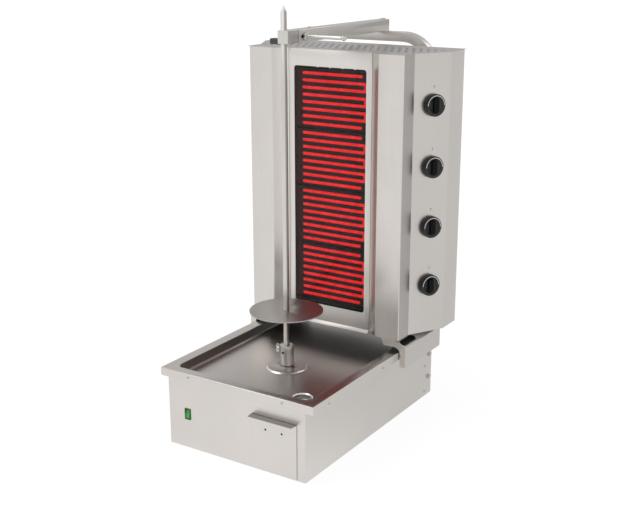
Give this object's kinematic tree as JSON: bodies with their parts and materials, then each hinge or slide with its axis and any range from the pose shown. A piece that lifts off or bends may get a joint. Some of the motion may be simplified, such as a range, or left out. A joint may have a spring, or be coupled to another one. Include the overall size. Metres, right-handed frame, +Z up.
{
  "type": "electric skewer grill",
  "caption": "Electric upright skewer grill: drip tray base with a fat drawer and spit drive, a sliding heating tower with knobs, and a bent mast that holds the top of the spit.",
  "frame": {"origin": "on the spit axis at the underside of the base", "axes": "+Z up along the spit, +X to the right of a user who stands in front, +Y from the user to the back"},
  "size_m": [0.624, 0.797, 1.185],
  "materials": {
    "stainless": "satin",
    "inner_sheet": "satin",
    "bright_hardware": "polished",
    "gearbox_casting": "matte",
    "motor_shell": "satin",
    "black_plastic": "satin",
    "green_plastic": "gloss",
    "nylon": "matte",
    "ceramic_glass": "gloss",
    "insulation": "matte",
    "heating_ribbon": "matte",
    "terminal_plastic": "matte",
    "regulator_body": "matte"
  },
  "bodies": {
    "base": {"base_housing": "stainless", "base_floor": "inner_sheet", "rear_cover": "stainless", "cover_screws": "bright_hardware", "drip_tray": "stainless", "rim_screws": "bright_hardware", "spit_flange": "stainless", "drain_strainer": "stainless", "drawer_rails": "inner_sheet", "motor_bracket": "inner_sheet", "gearbox": "gearbox_casting", "motor": "motor_shell", "switch_body": "black_plastic", "supply_gland": "black_plastic", "mast_bracket": "inner_sheet", "mast_bolts": "bright_hardware", "spit_mast": "stainless", "arm_channel": "stainless", "arm_screws": "bright_hardware"},
    "drawer": {"drawer_front": "stainless", "fat_pan": "inner_sheet"},
    "drive": {"drive_shaft": "bright_hardware", "spit_socket": "stainless"},
    "socket_clamp": {"socket_screw": "bright_hardware"},
    "spit": {"spit_bar": "stainless"},
    "disc": {"meat_disc": "stainless"},
    "disc_clamp": {"disc_screw": "bright_hardware"},
    "rocker": {"switch_rocker": "green_plastic"},
    "holder": {"spit_holder": "stainless", "holder_grip": "black_plastic"},
    "lock": {"lock_rod": "bright_hardware"},
    "tower": {"saddle_left": "stainless", "saddle_right": "stainless", "slide_pads": "nylon", "saddle_bolts": "bright_hardware", "casing_left": "stainless", "casing_right": "stainless", "front_panel": "stainless", "ceramic_glass": "ceramic_glass", "heater_frame": "inner_sheet", "heater_tray_1": "insulation", "heater_tray_2": "insulation", "heater_tray_3": "insulation", "heater_tray_4": "insulation", "heater_ribbon_1": "heating_ribbon", "heater_ribbon_2": "heating_ribbon", "heater_ribbon_3": "heating_ribbon", "heater_ribbon_4": "heating_ribbon", "back_cover": "stainless", "top_grille": "stainless", "tower_floor": "inner_sheet", "terminal_block": "terminal_plastic", "regulator_1": "regulator_body", "regulator_2": "regulator_body", "regulator_3": "regulator_body", "regulator_4": "regulator_body"},
    "knob_turn_1": {"knob_1": "black_plastic"},
    "knob_turn_2": {"knob_2": "black_plastic"},
    "knob_turn_3": {"knob_3": "black_plastic"},
    "knob_turn_4": {"knob_4": "black_plastic"}
  },
  "joints": [
    {"name": "tower_slide", "type": "slide", "parent": "base", "child": "tower", "axis": [0, 1, 0], "range_m": [-0.06, 0.05]},
    {"name": "spit_turn", "type": "hinge", "parent": "base", "child": "drive", "pos_m": [0, 0, 0.18], "axis": [0, 0, 1], "continuous": true},
    {"name": "socket_clamp_turn", "type": "hinge", "parent": "drive", "child": "socket_clamp", "pos_m": [-0.0195, 0, 0.241], "axis": [-1, 0, 0], "range_deg": [0, 180]},
    {"name": "spit_lift", "type": "slide", "parent": "drive", "child": "spit", "axis": [0, 0, 1], "range_m": [0, 0.045]},
    {"name": "disc_height", "type": "slide", "parent": "spit", "child": "disc", "axis": [0, 0, 1], "range_m": [-0.06, 0.3]},
    {"name": "disc_clamp_turn", "type": "hinge", "parent": "disc", "child": "disc_clamp", "pos_m": [-0.016, 0, 0.343], "axis": [-1, 0, 0], "range_deg": [0, 180]},
    {"name": "switch_rock", "type": "hinge", "parent": "base", "child": "rocker", "pos_m": [-0.16, -0.247, 0.1], "axis": [1, 0, 0], "range_deg": [0, 20]},
    {"name": "drawer_slide", "type": "slide", "parent": "base", "child": "drawer", "axis": [0, -1, 0], "range_m": [0, 0.28]},
    {"name": "holder_slide", "type": "slide", "parent": "base", "child": "holder", "axis": [0, 1, 0], "range_m": [-0.015, 0]},
    {"name": "lock_turn", "type": "hinge", "parent": "holder", "child": "lock", "pos_m": [0.0188, 0.072, 1.1015], "axis": [1, 0, 0], "range_deg": [-90, 0]},
    {"name": "knob_1_turn", "type": "hinge", "parent": "tower", "child": "knob_turn_1", "pos_m": [0.28232, 0.30747, 0.91245], "axis": [0.8763, -0.4818, 0], "range_deg": [-270, 0]},
    {"name": "knob_2_turn", "type": "hinge", "parent": "tower", "child": "knob_turn_2", "pos_m": [0.28232, 0.30747, 0.74115], "axis": [0.8763, -0.4818, 0], "range_deg": [-270, 0]},
    {"name": "knob_3_turn", "type": "hinge", "parent": "tower", "child": "knob_turn_3", "pos_m": [0.28232, 0.30747, 0.56985], "axis": [0.8763, -0.4818, 0], "range_deg": [-270, 0]},
    {"name": "knob_4_turn", "type": "hinge", "parent": "tower", "child": "knob_turn_4", "pos_m": [0.28232, 0.30747, 0.39855], "axis": [0.8763, -0.4818, 0], "range_deg": [-270, 0]}
  ]
}
